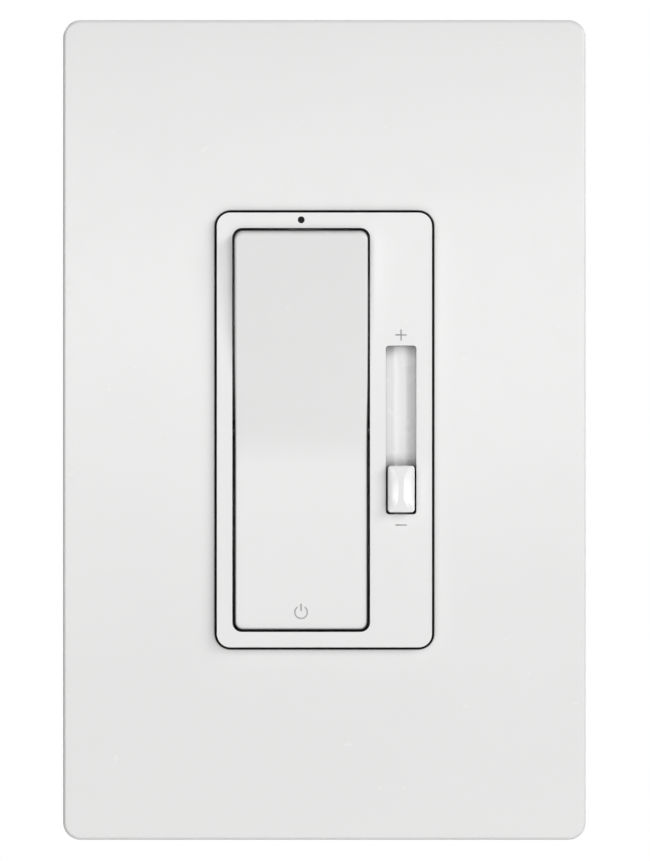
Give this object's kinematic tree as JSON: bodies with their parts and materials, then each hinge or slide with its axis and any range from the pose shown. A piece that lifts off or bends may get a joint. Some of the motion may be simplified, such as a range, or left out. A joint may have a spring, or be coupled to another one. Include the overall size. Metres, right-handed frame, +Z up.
{
  "type": "dimmer slide switch",
  "caption": "Wall dimmer with a rocker switch and a slide control in a flat bezel, a screwless wall plate, a mounting strap and a rear housing with screw terminals.",
  "frame": {"origin": "midway between the two box screws, on the rear face of the mounting strap, which is the wall's surface", "axes": "+X to the right as seen from the room, +Z up, +Y into the wall; the face looks along -Y"},
  "size_m": [0.0798, 0.0417, 0.1252],
  "materials": {
    "plate_plastic": "satin white thermoplastic",
    "face_plastic": "fine satin white thermoplastic",
    "knob_plastic": "polished white thermoplastic",
    "dark_lens": "smoked light pipe, unlit",
    "strap_aluminium": "stamped sheet, brushed",
    "zinc_steel": "zinc-plated steel",
    "white_steel": "white-painted screw",
    "fibre": "pressed fibre",
    "green_steel": "green-dyed zinc plating",
    "housing_plastic": "moulded, lightly textured",
    "nylon": "natural nylon",
    "spring_steel": "bare spring wire",
    "phenolic": "black thermoset",
    "brass": "stamped brass",
    "contact_silver": "silver alloy",
    "carriage_plastic": "acetal",
    "track_laminate": "printed resistive laminate",
    "board_green": "glass-epoxy board with solder mask",
    "epoxy_black": "moulded epoxy",
    "thermal_rubber": "silicone pad",
    "core_paint": "coated iron powder",
    "copper": "enamelled copper wire",
    "capacitor_yellow": "box capacitor case",
    "capacitor_red": "dipped film capacitor",
    "capacitor_sleeve": "shrink sleeve",
    "resistor_tan": "coated ceramic",
    "diac_glass": "glass bead",
    "led_lens": "clear epoxy"
  },
  "bodies": {
    "chassis": {"wall_plate": "plate_plastic", "sub_plate": "plate_plastic", "plate_screws": "white_steel", "bezel": "face_plastic", "light_pipe": "dark_lens", "strap": "strap_aluminium", "box_screws": "zinc_steel", "screw_washers": "fibre", "ground_screw": "green_steel", "rear_housing": "housing_plastic", "housing_screws": "zinc_steel", "switch_base": "phenolic", "fixed_contacts": "contact_silver", "common_bracket": "brass", "common_terminal": "brass", "upper_traveler_terminal": "brass", "lower_traveler_terminal": "brass", "terminal_screws": "brass", "clamp_plates": "zinc_steel", "pot_body": "zinc_steel", "pot_track": "track_laminate", "main_board": "board_green", "triac": "epoxy_black", "triac_rivet": "strap_aluminium", "thermal_pad": "thermal_rubber", "choke_core": "core_paint", "choke_winding": "copper", "film_capacitor": "capacitor_yellow", "timing_capacitor": "capacitor_red", "supply_capacitor": "capacitor_sleeve", "resistors": "resistor_tan", "diac": "diac_glass", "controller_chip": "epoxy_black", "indicator_led": "led_lens"},
    "rocker": {"rocker_paddle": "face_plastic", "plunger": "nylon", "plunger_spring": "spring_steel"},
    "contact_lever": {"contact_arm": "brass", "arm_contacts": "contact_silver"},
    "slider": {"slider_knob": "knob_plastic", "slide_shield": "knob_plastic", "pot_carriage": "carriage_plastic", "pot_wiper": "brass"}
  },
  "joints": [
    {"name": "paddle_rock", "type": "hinge", "parent": "chassis", "child": "rocker", "pos_m": [-0.00354, -0.0045, 0], "axis": [-1, 0, 0], "range_deg": [0, 6]},
    {"name": "contact_swing", "type": "hinge", "parent": "chassis", "child": "contact_lever", "pos_m": [-0.00354, 0.0044, 0], "axis": [-1, 0, 0], "range_deg": [-10, 0]},
    {"name": "knob_slide", "type": "slide", "parent": "chassis", "child": "slider", "axis": [0, 0, 1], "range_m": [0, 0.018]}
  ],
  "couplings": [
    {"joint": "contact_swing", "follows": "paddle_rock", "ratio": -1.6667}
  ]
}
